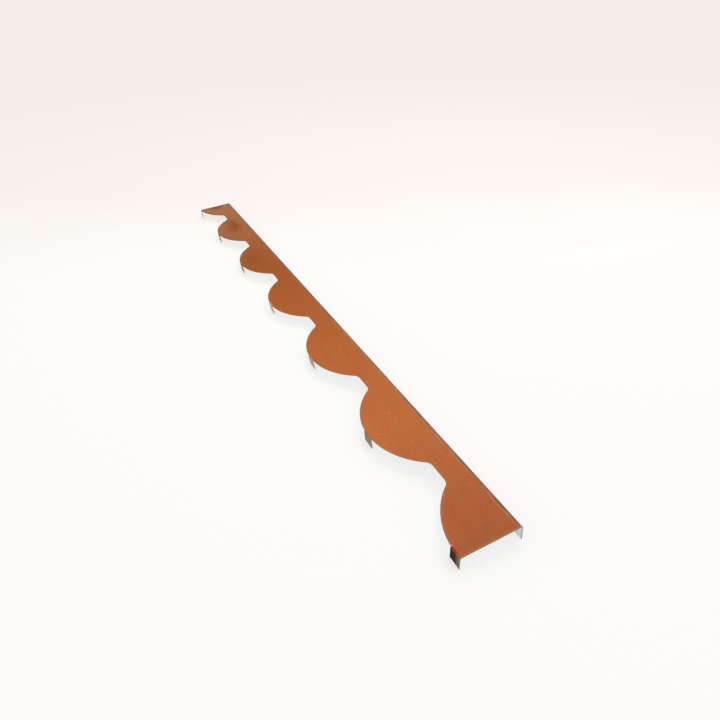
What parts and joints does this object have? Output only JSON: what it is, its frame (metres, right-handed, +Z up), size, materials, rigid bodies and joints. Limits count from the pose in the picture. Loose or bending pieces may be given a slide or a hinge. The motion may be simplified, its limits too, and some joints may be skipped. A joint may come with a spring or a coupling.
{
  "type": "scalloped roof edge flashing",
  "caption": "Scalloped sheet steel flashing that closes the waves of a tile profile roof sheet, with a folded flange along its straight edge and a folded tab on each lobe.",
  "frame": {"origin": "middle of the bounding box seen from above, on the level floor that the flange and tabs stand on", "axes": "+X along the length, from the end with the longer overhang to the other; +Y from the flange to the lobes; +Z up, with the painted side of the face on top. The tabs are 4 mm shorter than the flange, so the face slopes down towards them by 3.2 degrees where the flashing lies unheld"},
  "size_m": [1.1074, 0.0728, 0.0199],
  "materials": {
    "painted_steel": "matt terracotta coil coating on the upper side, pale grey back coat below"
  },
  "bodies": {
    "root": {"edge_flashing": "painted_steel"}
  },
  "joints": []
}
